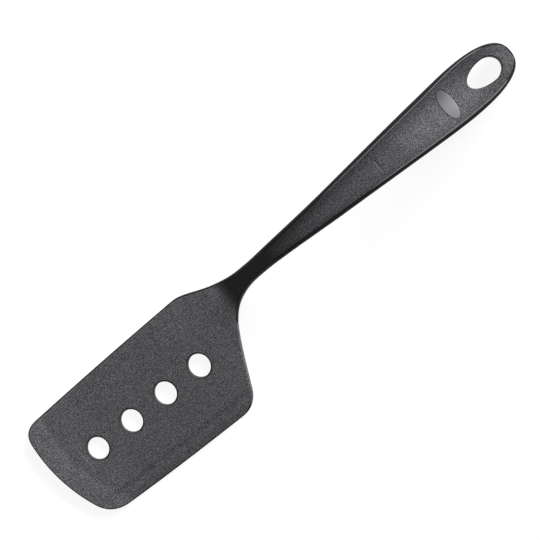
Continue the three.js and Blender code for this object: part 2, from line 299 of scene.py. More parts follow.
def front_corner(edge, side, size):
    """Where a front corner leaves the side, its control point, and its angle on the front arc."""
    direction = unit(edge[2] - edge[1])
    to_centre = FRONT_CENTRE - edge[1]
    near = to_centre @ direction
    off = np.linalg.norm(to_centre - near * direction)
    corner = edge[1] + direction * (near + math.sqrt(FRONT_RADIUS**2 - off**2))
    start = corner - direction * size
    ray = corner - FRONT_CENTRE
    angle = math.atan2(ray[1], ray[0]) % math.tau + side * size / FRONT_RADIUS
    radial = on_circle(angle)
    control = start + direction * ((on_front(angle) - start) @ radial) / (direction @ radial)
    return start, control, angle


NECK_HALF = NECK_WIDTH / 2
HANDLE_HALF = HANDLE_WIDTH / 2
SHOULDER = on_circle(SHOULDER_ANGLE)
SHOULDER_END = FAR_EDGE[0] + SHOULDER * SHOULDER_STRAIGHT
FAR_ROOT = bezier([
    SHOULDER_END,
    SHOULDER_END + SHOULDER * FAR_SHOULDER_PULL,
    (NECK_MIDDLE - FAR_NECK_PULL, -NECK_HALF),
    (NECK_MIDDLE, -NECK_HALF),
], LONG_CURVE_POINTS)
NEAR_ROOT = bezier([
    NEAR_EDGE[0],
    NEAR_EDGE[0] + np.array([NEAR_SHOULDER_PULL, 0]),
    (NECK_MIDDLE - NEAR_NECK_PULL, NECK_HALF),
    (NECK_MIDDLE, NECK_HALF),
], LONG_CURVE_POINTS)
HANDLE_SIDE = bezier([
    (NECK_MIDDLE, NECK_HALF),
    (NECK_MIDDLE + HANDLE_NECK_PULL, NECK_HALF),
    (HANDLE_WIDEST - HANDLE_FLARE_PULL, HANDLE_HALF),
    (HANDLE_WIDEST, HANDLE_HALF),
], LONG_CURVE_POINTS)


def edges_at(x):
    """Near and far edges of the neck and handle at x."""
    if x < NECK_MIDDLE:
        return np.interp(x, *NEAR_ROOT.T), np.interp(x, *FAR_ROOT.T)
    if x < HANDLE_WIDEST:
        half = np.interp(x, *HANDLE_SIDE.T)
    else:
        share = min(1, (x - HANDLE_WIDEST) / (HANDLE_END - HANDLE_WIDEST))
        half = HANDLE_HALF * (1 - share**END_FULLNESS) ** (1 / END_FULLNESS)
    return half, -half


def resample(points, step):
    """The same line with evenly spaced points, both ends kept."""
    length = np.r_[0, np.cumsum(np.linalg.norm(np.diff(points, axis=0), axis=1))]
    at = np.linspace(0, length[-1], round(length[-1] / step) + 1)
    return columns(*(np.interp(at, length, line) for line in points.T))


def blade_outline():
    """Edge of the blade, from the near end of the bend line round the front to its far end."""
    near_start, near_control, near_angle = front_corner(NEAR_EDGE, NEAR, NEAR_CORNER)
    far_start, far_control, far_angle = front_corner(FAR_EDGE, FAR, FAR_CORNER)
    heel = FAR_EDGE[0]
    heel_start = heel + unit(FAR_EDGE[1] - heel) * HEEL_CORNER
    heel_end = heel + SHOULDER * HEEL_CORNER
    near_root, far_root = (root[root[:, 0] < BEND_START] for root in (NEAR_ROOT, FAR_ROOT))
    near_end, far_end = edges_at(BEND_START)
    points = np.vstack([
        [(BEND_START, near_end)],
        near_root[::-1],
        bezier([NEAR_EDGE[0], NEAR_EDGE[1], near_start]),
        bezier([near_start, near_control, on_front(near_angle)]),
        on_front(np.linspace(near_angle, far_angle, FRONT_POINTS)),
        bezier([on_front(far_angle), far_control, far_start]),
        bezier([far_start, FAR_EDGE[1], heel_start]),
        bezier([heel_start, heel, heel_end]),
        far_root,
        [(BEND_START, far_end)],
    ])
    return resample(points, OUTLINE_STEP)


# Heights of the blade


def edge_line(edge, x):
    """Y of a long edge of the blade at x, constant behind the heel."""
    return np.interp(x, *bezier(edge)[::-1].T)


def from_crease(x, y):
    """How far in front of the crease a point lies, where the lip begins."""
    return np.hypot(x - FRONT_CENTRE[0], y - FRONT_CENTRE[1]) - CREASE_RADIUS


def rolled(inset, slope):
    """Fall of a border that slopes more and more towards the blade's edge."""
    out = np.maximum(ROLL_START - inset, 0)
    return slope * np.where(out < ROLL_SOFT, out**2 / (2 * ROLL_SOFT), out - ROLL_SOFT / 2)


def far_fall(inset):
    """The far border falls away from a crease, levels off, and rolls down to the edge."""
    share = np.clip((BORDER_CREASE - inset) / (BORDER_CREASE - BORDER_FOOT), 0, 1)
    return BORDER_STEP * share * (2 - share) + rolled(inset, FAR_ROLL)


def near_fall(inset):
    """The near border has only a faint groove before it rolls down to the edge."""
    wall = 1 - smooth(inset, GROOVE_PLACE, GROOVE_PLACE + GROOVE_WALL)
    groove = smooth(inset, BORDER_FOOT, GROOVE_PLACE) * wall
    return GROOVE_DEPTH * groove + rolled(inset, NEAR_ROLL)


def lip_rise(y):
    """The lip turns up less towards the far side."""
    return mix(FAR_LIP_RISE, LIP_RISE, smooth(y, *LIP_RISE_SPAN))


def blade_top(x, y):
    share = (BEND_START - x) / (BEND_START + BLADE_LENGTH)
    far = far_fall(y - edge_line(FAR_EDGE, x))
    near = near_fall(edge_line(NEAR_EDGE, x) - y) * (1 - smooth(x, -BORDER_CREASE, 0))
    field = mix(HEEL_THICKNESS, TIP_THICKNESS, share) - far - near
    out = from_crease(x, y)
    fading = mix(1, FAR_FALL_LEFT, smooth(out, -CREASE_SOFT, LIP_WIDTH))
    lip = TIP_THICKNESS + LIP_STEP + lip_rise(y) * out / LIP_WIDTH - far * fading
    return mix(field, lip, smooth(out, -CREASE_SOFT, CREASE_SOFT))


def blade_bottom(x, y):
    out = from_crease(x, y)
    slope = (TIP_THICKNESS + LIP_STEP + lip_rise(y) - LIP_EDGE) / LIP_WIDTH
    soft = np.clip(out + CREASE_SOFT, 0, 2 * CREASE_SOFT) ** 2 / (4 * CREASE_SOFT)
    return slope * np.where(out > CREASE_SOFT, out, soft)


# Top line of the tool


def along_arc(start, radius, x):
    """X, height and angle at x on an arc from a start. A radius below 0 bends it down."""
    angle = np.arcsin(math.sin(start[2]) + (x - start[0]) / radius)
    return x, start[1] + radius * (math.cos(start[2]) - np.cos(angle)), angle


BEND = (BEND_START, HEEL_THICKNESS, 0)
NECK = along_arc(BEND, BEND_RADIUS, BEND_START + BEND_RADIUS * math.sin(NECK_ANGLE))
KNEE = (KNEE_START, NECK[1] + (KNEE_START - NECK[0]) * math.tan(NECK_ANGLE), NECK_ANGLE)
KNEE_SPAN = KNEE_RADIUS * (math.sin(NECK_ANGLE) - math.sin(ARCH_ANGLE))
ARCH = along_arc(KNEE, -KNEE_RADIUS, KNEE_START + KNEE_SPAN)


def depth_at(x):
    """How thick the tool is at x, square to its top line."""
    neck = (NECK_DEPTH - HEEL_THICKNESS) * smooth(x, BEND_START, NECK_MIDDLE)
    handle = (HANDLE_DEPTH - NECK_DEPTH) * smooth(x, NECK_MIDDLE, HANDLE_DEEPEST)
    end = (END_DEPTH - HANDLE_DEPTH) * smooth(x, HANDLE_DEEPEST, HANDLE_WIDEST)
    share = max(0, (x - HANDLE_WIDEST) / (HANDLE_END - HANDLE_WIDEST))
    return (HEEL_THICKNESS + neck + handle + end) * (1 - share**END_BLUNTNESS) ** (1 / END_FULLNESS)


def resting_radius():
    """The arch's radius that brings the underside of the handle's end back down to the table."""
    tight = HANDLE_END - ARCH[0]
    wide = FLATTEST_ARCH * tight
    places = np.linspace(HANDLE_WIDEST, HANDLE_END, ARCH_PLACES)
    for _ in range(ARCH_HALVINGS):
        radius = (tight + wide) / 2
        tops = [along_arc(ARCH, -radius, x) for x in places]
        if any(z < depth_at(x) * math.cos(angle) for x, z, angle in tops):
            tight = radius
        else:
            wide = radius
    return wide


ARCH_RADIUS = resting_radius()


def top_line(x):
    """X, height and angle of the tool's top line at x."""
    if x <= BEND[0]:
        return x, HEEL_THICKNESS, 0.0
    if x <= NECK[0]:
        return along_arc(BEND, BEND_RADIUS, x)
    if x <= KNEE[0]:
        return x, NECK[1] + (x - NECK[0]) * math.tan(NECK_ANGLE), NECK_ANGLE
    if x <= ARCH[0]:
        return along_arc(KNEE, -KNEE_RADIUS, x)
    return along_arc(ARCH, -ARCH_RADIUS, x)


def bow_at(x):
    """How far the middle line strays to the near side, as in a moulding that warped."""
    return float(sum(by * smooth(x, start, stop) for start, stop, by in BOWS))


def on_section(x, across, above):
    """Points across the tool and above its top line, in the plane square to that line at x."""
    _, z, angle = top_line(x)
    return columns(x - above * math.sin(angle), across + bow_at(x), z + above * math.cos(angle))


# Sections of the neck and handle, as rows of (across, above)


def band_at(width, x):
    return mix(width, BAND_TIP, smooth(x, HANDLE_WIDEST, GRIP_END))


def dish_at(x):
    """A shallow dish that deepens where the thumb rests, and runs out under the hanging hole."""
    sunk = DISH_SHALLOW * smooth(x, DISH_START, HANDLE_DEEPEST)
    share = np.clip((x - THUMB_START) / (DISH_DEEPEST - THUMB_START), 0, 1)
    sunk += (DISH_DEPTH - DISH_SHALLOW) * share * (2 - share)
    return sunk * (1 - smooth(x, DISH_DEEPEST, HANG_PLACE + HANG_OUTER))


def back_rows(near, far, drop, depth, fullness):
    """The rounded back of a section, from its near side to its far side."""
    turn = np.arange(1, BACK_POINTS + 1) / (BACK_POINTS + 1) * math.pi
    half = np.where(np.cos(turn) > 0, near, far)
    across = half * np.sign(np.cos(turn)) * np.abs(np.cos(turn)) ** (2 / fullness)
    return columns(across, -drop - (depth - drop) * np.sin(turn) ** (2 / fullness))


def across_panel(far, near):
    """Places across the panel, closer together towards its edges."""
    share = np.sin(np.linspace(-1, 1, PANEL_POINTS) * math.pi / 2)
    return (near - far) / 2 + share * (near + far) / 2


class Section:
    """Sizes of the tool's section at one place along it, and the rings of points there."""

    def __init__(self, x):
        self.x = x
        near, far = edges_at(x)
        self.middle = (near + far) / 2
        self.half = (near - far) / 2
        self.depth = depth_at(x)
        self.rounded = smooth(x, BEND_START, NECK_MIDDLE)
        self.drop = min(SHOULDER_HEIGHT, SHOULDER_SHARE * self.depth)
        widths = {NEAR: np.interp(x, *zip(*NEAR_BAND)), FAR: FAR_BAND}
        most = BAND_SHARE * self.half
        self.band = {side: min(band_at(width, x), most) for side, width in widths.items()}
        self.top = {side: self.half - band for side, band in self.band.items()}
        lip = min(GRIP_LIP, LIP_SHARE * self.half)
        self.panel = {side: top - lip for side, top in self.top.items()}

    def dished(self, across):
        """Height of the panel over the top line."""
        middle = (self.top[NEAR] - self.top[FAR]) / 2
        reach = (self.top[NEAR] + self.top[FAR]) / 2
        share = np.minimum(1, np.abs(np.asarray(across) - middle) / reach)
        return -dish_at(self.x) * (1 - share**2) - self.witness(across)

    def witness(self, across):
        """Depth of a fine line that the mould leaves across part of the panel."""
        off = abs(self.x - WITNESS_PLACE)
        low, high = WITNESS_SPAN
        begun = smooth(across, low - WITNESS_FADE, low)
        ended = smooth(across, high, high + WITNESS_FADE)
        return WITNESS_DEPTH * (1 - smooth(off, 0, WITNESS_WIDTH)) * begun * (1 - ended)

    def placed(self, rows):
        return on_section(self.x, self.middle + rows[:, 0], rows[:, 1])

    def on_panel(self, across):
        return columns(across, self.dished(across))

    def panel_rows(self):
        return self.on_panel(across_panel(self.panel[FAR], self.panel[NEAR]))

    def side_rows(self, side, inner):
        """Lip and shoulder of one side, outwards from a place on the panel."""
        lip = self.on_panel(side * mix(inner, self.top[side], LIP_SHARES))
        shoulder = rounding(self.band[side], self.drop)[1:] + (self.top[side], 0)
        return np.vstack([lip, shoulder * (side, 1)])

    def outer_back(self):
        return back_rows(self.half, self.half, self.drop, self.depth, BACK_FULLNESS)

    def inner_back(self, seam):
        """Back of the spine, grown by a seam."""
        near, far = self.panel[NEAR] + seam, self.panel[FAR] + seam
        return back_rows(near, far, SHOULDER_HEIGHT, self.depth - GRIP_FLOOR + seam, SPINE_FULLNESS)

    def round_rows(self):
        near, far = (self.side_rows(side, self.panel[side]) for side in (NEAR, FAR))
        return np.vstack([self.panel_rows(), near, self.outer_back(), far[::-1]])

    def plate_rows(self):
        """The same count of points round a flat plate with small rounded edges."""
        top = self.half - RIM_OVER
        bottom = self.half - RIM_UNDER
        panel = top - GRIP_LIP
        rim = rounding(RIM_OVER, RIM_DROP)[1:] + (top, 0)
        side = np.vstack([columns(mix(panel, top, LIP_SHARES), 0), rim])
        under = rounding(RIM_UNDER, -RIM_UNDER)[::-1] + (bottom, -self.depth)
        flat = np.linspace(bottom, -bottom, BACK_POINTS - 2 * len(under) + 2)[1:-1]
        mirror = np.array([-1, 1])
        back = np.vstack([under, columns(flat, -self.depth), under[::-1] * mirror])
        return np.vstack([columns(across_panel(panel, panel), 0), side, back, side[::-1] * mirror])

    def outer_ring(self):
        """The whole outer line, from the blade's plate to the rounded handle."""
        return self.placed(mix(self.plate_rows(), self.round_rows(), self.rounded))

    def wall_rows(self, across, count):
        down = mix(self.dished(across), -SHOULDER_HEIGHT, np.arange(1, count + 1) / count)
        return columns(across, down)

    def spine_ring(self):
        """The moulding where the grip wraps it: the panel's top and a narrower body below."""
        count = LIP_POINTS + ROUND_POINTS
        near, far = (self.wall_rows(side * self.panel[side], count) for side in (NEAR, FAR))
        return self.placed(np.vstack([self.panel_rows(), near, self.inner_back(0), far[::-1]]))

    def grip_rings(self):
        """Outer and inner line of the grip, from the near lip round the back to the far lip."""
        outer, inner = {}, {}
        for side in (NEAR, FAR):
            edge = self.panel[side] + SEAM
            start = self.on_panel([side * edge])
            outer[side] = np.vstack([start, self.side_rows(side, edge)])
            walls = self.wall_rows(side * edge, len(outer[side]))
            inner[side] = np.vstack([start - (0, GRIP_EDGE), walls[1:]])
        return (
            self.placed(np.vstack([outer[NEAR], self.outer_back(), outer[FAR][::-1]])),
            self.placed(np.vstack([inner[NEAR], self.inner_back(SEAM), inner[FAR][::-1]])),
        )

    def bead_ring(self, side):
        """Round bead on the grip's lip, sunk out of sight towards both ends of the handle."""
        shown = smooth(self.x, *BEAD_RISE[side]) * (1 - smooth(self.x, BEAD_FALL, GRIP_END))
        across = side * (self.panel[side] + self.top[side]) / 2
        turn = np.linspace(0, math.tau, BEAD_POINTS, endpoint=False)
        above = self.dished(across) + BEAD_RADIUS * mix(BEAD_SUNK, BEAD_SHOWN, shown)
        return self.placed(columns(across, above) + BEAD_RADIUS * on_circle(turn))


# Meshes

# Finishes, in the order of the moulding's materials. The third is a paler grey that paints the light on
# the half of each drain rim that faces the lamp
SPECKLED, SMOOTH, PAINTED_LIT = 0, 1, 2


def linked(name, data):
    """A new object in the scene."""
    thing = bpy.data.objects.new(name, data)
    bpy.context.scene.collection.objects.link(thing)
    return thing


class Skin:
    """Collects points and faces in millimetres and turns them into one mesh object."""

    def __init__(self, finish=SPECKLED):
        self.points = []
        self.faces = []
        self.finishes = []
        self.finish = finish

    def add(self, points):
        start = len(self.points)
        self.points.extend(np.asarray(points, float).reshape(-1, 3))
        return start

    def face(self, *corners):
        self.faces.append(corners)
        self.finishes.append(self.finish)

    def grid(self, rows, closed=False):
        """Quads between rows of points. Closed rows join their last point to their first."""
        rows = np.asarray(rows, float)
        count = rows.shape[1]
        start = self.add(rows)
        for i in range(len(rows) - 1):
            for j in range(count if closed else count - 1):
                a = start + i * count + j
                b = start + i * count + (j + 1) % count
                self.face(a, b, b + count, a + count)

    def fan(self, ring):
        """Triangles from a ring to its middle."""
        start = self.add(ring)
        hub = self.add([np.mean(ring, axis=0)])
        for j in range(len(ring)):
            self.face(start + j, start + (j + 1) % len(ring), hub)

    def tube(self, rings):
        """Quads between closed rings, with both ends filled."""
        self.grid(rings, closed=True)
        self.fan(rings[0])
        self.fan(rings[-1])

    def split(self, rows, at, first, second):
        """Quads between rows of points that change from one finish to another at a column."""
        self.finish = first
        self.grid(rows[:, :at + 1])
        self.finish = second
        self.grid(rows[:, at:])

    def flat(self, triangles, points):
        start = self.add(points)
        for triangle in triangles:
            self.face(*(start + int(i) for i in triangle))

    def made(self, name, materials=()):
        mesh = bpy.data.meshes.new(name)
        mesh.from_pydata([Vector(p) * MM for p in self.points], [], self.faces)
        for material in materials:
            mesh.materials.append(material)
        mesh.polygons.foreach_set("material_index", self.finishes)
        build = bmesh.new()
        build.from_mesh(mesh)
        bmesh.ops.remove_doubles(build, verts=build.verts, dist=WELD * MM)
        bmesh.ops.recalc_face_normals(build, faces=build.faces)
        build.to_mesh(mesh)
        build.free()
        return linked(name, mesh)


def inside(points, loop):
    """Which points lie inside a closed loop."""
    x, y = points.T[:, :, None]
    ax, ay = loop.T
    bx, by = np.roll(loop, -1, axis=0).T
    crosses = (ay > y) != (by > y)
    with np.errstate(divide="ignore", invalid="ignore"):
        at = ax + (y - ay) * (bx - ax) / (by - ay)
    return np.sum(crosses & (x < at), axis=1) % 2 == 1


def apart(points, others, distance):
    """The points that keep a distance from the others."""
    return points[[np.min(np.hypot(*(point - others).T)) > distance for point in points]]


def in_area(points, outer, holes):
    """Which points lie inside the outer loop and outside the holes."""
    return inside(points, outer) & ~np.any([inside(points, hole) for hole in holes], axis=0)


def filled(outer, holes, free):
    """Triangles inside the outer loop and outside the holes, which use the free points too."""
    loops = [outer, *holes]
    edge_points = np.vstack(loops)
    free = free[in_area(free, outer, holes)]
    points = np.vstack([edge_points, apart(free, edge_points, EDGE_GAP)])
    edges = []
    start = 0
    for loop in loops:
        count = len(loop)
        edges.extend((start + i, start + (i + 1) % count) for i in range(count))
        start += count
    hull, touching = 0, 1e-7
    result = delaunay_2d_cdt([Vector(p) for p in points], edges, [], hull, touching)
    made = np.array([tuple(v) for v in result[0]])
    triangles = np.array([tuple(f) for f in result[2]])
    return made, triangles[in_area(made[triangles].mean(axis=1), outer, holes)]


def blade_features():
    """Rows of points along the border steps and the front crease, where the top bends."""
    rows = []
    xs = np.arange(-BLADE_LENGTH, BEND_START, FEATURE_STEP)
    for edge, side in ((NEAR_EDGE, NEAR), (FAR_EDGE, FAR)):
        for inset in BORDER_CREASE + BORDER_ROW_STEP * np.arange(*BORDER_ROWS):
            rows.append(columns(xs, edge_line(edge, xs) - side * inset))
    angles = np.arange(*FRONT_SWEEP, FEATURE_STEP / CREASE_RADIUS)
    for off in np.linspace(-1, 1, CREASE_ROWS) * CREASE_SOFT * CREASE_REACH:
        rows.append(FRONT_CENTRE + (CREASE_RADIUS + off) * on_circle(angles))
    return np.vstack(rows)


def field_points(step, features):
    """Staggered points over the blade, with the points of its features laid in first."""
    xs = np.arange(-BLADE_LENGTH - FIELD_MARGIN, BEND_START, step * math.sqrt(3) / 2)
    ys = np.arange(-BLADE_WIDTH, BLADE_WIDTH / 2, step)
    grid = np.array([(x, y + (i % 2) * step / 2) for i, x in enumerate(xs) for y in ys])
    return np.vstack([features, apart(grid, features, FEATURE_GAP)])


def rim_rows(line, inwards, width=RIM_OVER, drop=RIM_DROP):
    """Rows of points round a thin edge, from the blade's top to its bottom."""
    rows = []
    for out, up in rounding(width, drop):
        x, y = (line + inwards * (width - out)).T
        rows.append(columns(x, y, blade_top(x, y) + up))
    for out, up in rounding(RIM_UNDER, -RIM_UNDER)[::-1]:
        x, y = (line + inwards * (RIM_UNDER - out)).T
        rows.append(columns(x, y, blade_bottom(x, y) + up))
    return np.array(rows)


def outline_inwards(line):
    """Inward directions along the outline, turned square to the handle at its two ends."""
    along = np.gradient(line, axis=0)
    inwards = unit(columns(-along[:, 1], along[:, 0]))
    place = np.arange(len(line))
    for end, square in ((place, (0, -1)), (place[::-1], (0, 1))):
        share = 1 - smooth(end, 0, SQUARED_POINTS)
        inwards = mix(inwards, np.array(square, float), share[:, None])
    return unit(inwards)


def add_blade(skin):
    """Edges and drain holes, and the triangles of top and bottom between them."""
    line = blade_outline()
    rows = rim_rows(line, outline_inwards(line))
    heel = np.argmin(np.linalg.norm(line - FAR_EDGE[0], axis=1))
    skin.split(rows, heel, SMOOTH, SPECKLED)
    over, under = [rows[0]], [rows[-1]]
    away = on_circle(np.linspace(-math.pi / 2, 1.5 * math.pi, 2 * HALF_HOLE + 1))
    for i in range(DRAIN_COUNT):
        centre = from_blade(-DRAIN_SETBACK - i * DRAIN_PITCH, 0)
        circle = centre + away * (DRAIN_DIAMETER - i * DRAIN_SHRINK) / 2
        rows = rim_rows(circle, away, DRAIN_RIM, DRAIN_RIM_DROP)
        # The half of each rim towards the handle has the smooth edges' dark grey; the half towards the
        # tip has a paler grey, painted light where the rim faces the lamp
        skin.split(rows, HALF_HOLE, SMOOTH, PAINTED_LIT)
        over.append(rows[0, 1:])
        under.append(rows[-1, 1:])
    skin.finish = SPECKLED
    ring = Section(BEND_START).outer_ring()
    top_count = PANEL_POINTS + LIP_POINTS
    side_count = 2 * ROUND_POINTS + 1
    over_cut = np.vstack([ring[-LIP_POINTS + 1:], ring[:top_count - 1]])
    under_cut = ring[top_count + side_count:len(ring) - LIP_POINTS - side_count][::-1]
    features = blade_features()
    for loops, cut, height, step in (
        (over, over_cut, blade_top, TOP_STEP),
        (under, under_cut, blade_bottom, BOTTOM_STEP),
    ):
        outer = np.vstack([loops[0][:, :2], cut[:, :2]])
        holes = [loop[:, :2] for loop in loops[1:]]
        plan, triangles = filled(outer, holes, field_points(step, features))
        skin.flat(triangles, columns(*plan.T, height(*plan.T)))


def stations(start, stop, step):
    """Evenly spaced places along the tool."""
    return np.linspace(start, stop, round((stop - start) / step) + 1)


def end_stations(start):
    """Places along the handle's end, closer together towards its tip."""
    share = np.sin(np.linspace(0, END_SWEEP, END_STATIONS))
    places = HANDLE_WIDEST + (HANDLE_END - HANDLE_WIDEST) * share
    return np.r_[start, places[places > start + END_FIRST_STEP]]


def add_shell(skin, rings, lips):
    """A grained top, as wide as the panel and some points of each lip, on smooth sides and back."""
    turned = np.roll(rings, lips, axis=1)
    closed = np.concatenate([turned, turned[:, :1]], axis=1)
    skin.split(closed, PANEL_POINTS + 2 * lips - 1, SPECKLED, SMOOTH)


def add_handle(skin):
    """Neck, spine and rounded end in one run, with extra rings at the panel's fine line."""
    witness = WITNESS_PLACE + WITNESS_WIDTH * np.linspace(-1, 1, WITNESS_STATIONS)
    along = np.union1d(stations(GRIP_START, GRIP_END, HANDLE_STEP), witness)
    neck = [Section(x).outer_ring() for x in stations(BEND_START, GRIP_START, NECK_STEP)]
    spine = [Section(x).spine_ring() for x in along]
    places = end_stations(GRIP_END)
    end = [Section(x).outer_ring() for x in places]
    add_shell(skin, np.array([*neck, *spine, end[0]]), LIP_POINTS)
    grained = np.sum(places < HANDLE_END - TIP_RIM)
    add_shell(skin, np.array(end[:grained]), 0)
    skin.grid(end[grained - 1:], closed=True)
    skin.fan(end[-1])


def combined(target, other, operation):
    """Joins to the target, or cuts from it, another closed piece, which is used up."""
    step = target.modifiers.new(operation, "BOOLEAN")
    step.operation = operation
    step.solver = "MANIFOLD"
    step.object = other
    shown = target.evaluated_get(bpy.context.evaluated_depsgraph_get())
    mesh = bpy.data.meshes.new_from_object(shown)
    target.modifiers.clear()
    target.data = mesh
    bpy.data.objects.remove(other)


class Seat:
    """Plane that touches the top line at one place, with coordinates along, across and out of it."""

    def __init__(self, x):
        _, z, angle = top_line(x)
        c, s = math.cos(angle), math.sin(angle)
        self.x = x
        self.origin = np.array([x, bow_at(x), z])
        self.axes = np.array([(c, 0, s), (0, 1, 0), (-s, 0, c)])

    def placed(self, plan, height):
        return self.origin + columns(*plan.T, height) @ self.axes

    def surface(self, plan, back=False):
        """Heights over the plane of the handle's top, or of its back."""
        heights = []
        for u, y in plan:
            section = Section(self.x + u * self.axes[0, 0])
            if back:
                share = min(1, abs(y) / section.half)
                lobe = (1 - share**BACK_FULLNESS) ** (1 / BACK_FULLNESS)
                above = -section.drop - (section.depth - section.drop) * lobe
            else:
                above = float(section.dished(y))
            point = on_section(section.x, y, above)
            heights.append((point - self.origin) @ self.axes[2])
        return np.array(heights)


HANG_SEAT = Seat(HANG_PLACE)
HANG_LEAN = np.array([math.tan(HANG_TILT), 0])
BADGE_SEAT = Seat(BADGE_PLACE)
BADGE_BOTTOM = -dish_at(BADGE_PLACE) - BADGE_THICKNESS


def egg(grow):
    """Plan of the hanging hole, grown all round."""
    turn = np.linspace(-math.pi, math.pi, EGG_POINTS, endpoint=False)
    reach = np.where(np.cos(turn) > 0, HANG_OUTER, HANG_INNER) + grow
    return columns(reach, HANG_WIDTH / 2 + grow) * on_circle(turn)


def leaned(plan, height):
    """Points of a plan at a height over the hanging hole's seat, leaned towards the handle's end."""
    return HANG_SEAT.placed(plan + np.reshape(height, (-1, 1)) * HANG_LEAN, height)


def closed_stack(name, rings, materials=(), finish=SPECKLED):
    """A closed piece of stacked rings."""
    skin = Skin(finish)
    skin.tube(rings)
    return skin.made(name, materials)


def hole_cutter(materials):
    """The hanging hole, rounded where it meets the handle's top."""
    top = HANG_SEAT.surface(egg(0))
    rows = [leaned(egg(0), -THROUGH)]
    for turn in np.linspace(0, math.pi / 2, RIM_POINTS):
        rows.append(leaned(egg(HANG_RIM * (1 - math.cos(turn))), top - HANG_RIM * (1 - math.sin(turn))))
    rows.append(leaned(egg(HANG_RIM), top + HANDLE_DEPTH))
    return closed_stack("hole_cutter", rows, materials, SMOOTH)


def hole_wall(materials):
    """Sleeve of the moulding round the hanging hole, from inside the spine to the handle's back."""
    outline = egg(HANG_WALL)
    rows = [leaned(outline, HANG_WALL_TOP)]
    back = HANG_SEAT.surface(outline, back=True)
    shifted = outline + back[:, None] * HANG_LEAN
    middle = shifted.mean(axis=0)
    for share in np.linspace(1, HANG_WALL_HUB, HANG_WALL_RINGS):
        plan = middle + (shifted - middle) * share
        rows.append(HANG_SEAT.placed(plan, HANG_SEAT.surface(plan, back=True)))
    return closed_stack("hole_wall", rows, materials, SMOOTH)


def badge_oval(inset):
    half = np.array([BADGE_WIDTH, BADGE_LENGTH]) / 2 - inset
    return half * on_circle(np.linspace(0, math.tau, BADGE_POINTS, endpoint=False))


def badge_seat(materials):
    """Cutter of the pocket in which the badge sits."""
    heights = (BADGE_BOTTOM, BADGE_BOTTOM + BADGE_CUT)
    rows = [BADGE_SEAT.placed(badge_oval(0), height) for height in heights]
    return closed_stack("badge_seat", rows, materials, SMOOTH)


def make_badge(material):
    """Thin oval that follows the dish, a little crowned, with a rounded edge."""
    rows = [BADGE_SEAT.placed(badge_oval(BADGE_SEAM), BADGE_BOTTOM + BADGE_SEAM)]
    for turn in np.linspace(0, math.pi / 2, RIM_POINTS):
        outline = badge_oval(BADGE_SEAM + BADGE_RIM * (1 - math.cos(turn)))
        height = BADGE_SEAT.surface(outline) - BADGE_RIM * (1 - math.sin(turn))
        rows.append(BADGE_SEAT.placed(outline, height))
    inner = badge_oval(BADGE_SEAM + BADGE_RIM)
    for share in np.linspace(1, BADGE_HUB, BADGE_RINGS)[1:]:
        outline = inner * share
        crown = BADGE_CROWN * (1 - share**2)
        rows.append(BADGE_SEAT.placed(outline, BADGE_SEAT.surface(outline) + crown))
    return closed_stack("oval_inlay", rows, [material])


def make_moulding(materials):
    """Blade, neck, spine and handle end in one piece, with the hanging hole and the badge's pocket."""
    skin = Skin()
    add_blade(skin)
    add_handle(skin)
    piece = skin.made("turner_moulding", materials)
    combined(piece, hole_wall(materials), "UNION")
    combined(piece, hole_cutter(materials), "DIFFERENCE")
    combined(piece, badge_seat(materials), "DIFFERENCE")
    return piece


def make_grip(material):
    """The wrap round the spine, open where the moulding's sleeve passes through."""
    places = stations(GRIP_START + END_SEAM, GRIP_END - END_SEAM, HANDLE_STEP)
    pairs = [Section(x).grip_rings() for x in places]
    skin = Skin()
    skin.grid([np.vstack([outer, inner[::-1]]) for outer, inner in pairs], closed=True)
    for outer, inner in (pairs[0], pairs[-1]):
        skin.grid([outer, inner])
    piece = skin.made("grip_wrap", [material])
    outline = egg(HANG_WALL + SEAM)
    cut = [leaned(outline, height) for height in (-THROUGH, HANDLE_DEPTH)]
    combined(piece, closed_stack("grip_cutter", cut), "DIFFERENCE")
    return piece


def make_beads(material):
    """Two thin beads where the panel meets the grip, in a pale grey that paints the highlight along them
    as two light lines.
    """
    skin = Skin()
    for side in (NEAR, FAR):
        places = stations(BEAD_RISE[side][0], GRIP_END, HANDLE_STEP)
        skin.tube([Section(x).bead_ring(side) for x in places])
    return skin.made("lip_beads", [material])


def finished(piece):
    """Shades a piece smoothly up to its sharp edges, and gives it its body."""
    mesh = piece.data
    mesh.polygons.foreach_set("use_smooth", [True] * len(mesh.polygons))
    mesh.set_sharp_from_angle(angle=SHARP_ANGLE)
    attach(piece, "root")
    return piece


# Materials, with places in metres like the meshes


